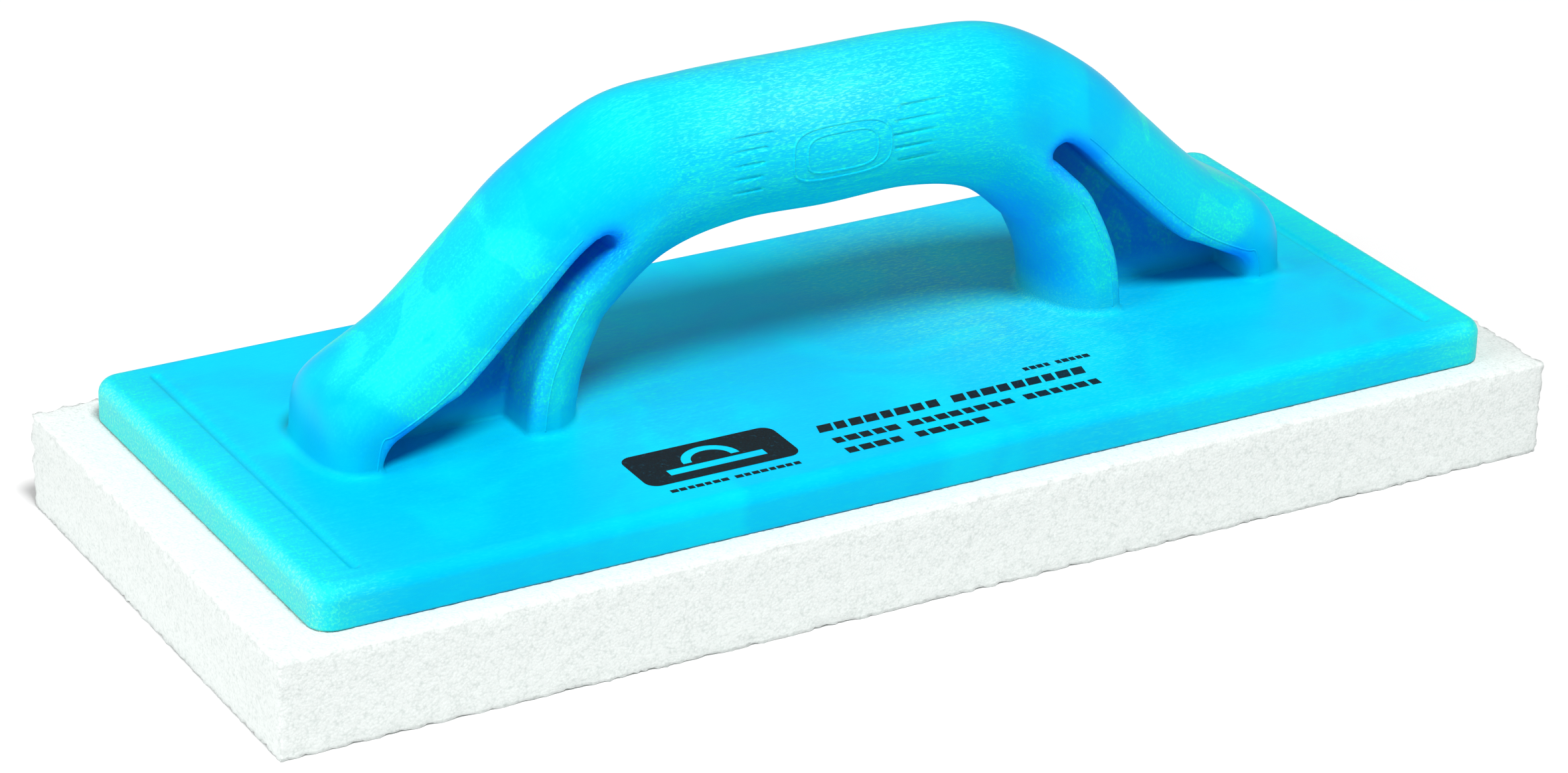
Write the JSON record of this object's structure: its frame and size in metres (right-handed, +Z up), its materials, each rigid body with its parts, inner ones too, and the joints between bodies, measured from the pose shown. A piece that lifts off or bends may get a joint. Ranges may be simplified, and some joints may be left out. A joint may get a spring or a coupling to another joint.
{
  "type": "grout float",
  "caption": "Flat sponge-faced hand float: a moulded polymer board with a bridge handle in one piece, and a square-cut white sponge pad bonded under it.",
  "frame": {"origin": "middle of the sponge pad's working face", "axes": "+X along the float, +Y across it, +Z up from the working face through the handle"},
  "size_m": [0.324, 0.134, 0.1056],
  "materials": {
    "polymer": "moulded structural foam, satin with silvery flow streaks",
    "sponge": "open-cell foam, square cut, matte",
    "adhesive": "thin hot-melt film",
    "ink": "pad-printed, semi-matte"
  },
  "bodies": {
    "root": {"moulded_body": "polymer", "sponge_pad": "sponge", "adhesive_film": "adhesive", "printed_badge": "ink", "printed_title": "ink", "printed_subtitle": "ink", "printed_size_line": "ink", "printed_code_line": "ink", "printed_badge_line": "ink"}
  },
  "joints": []
}
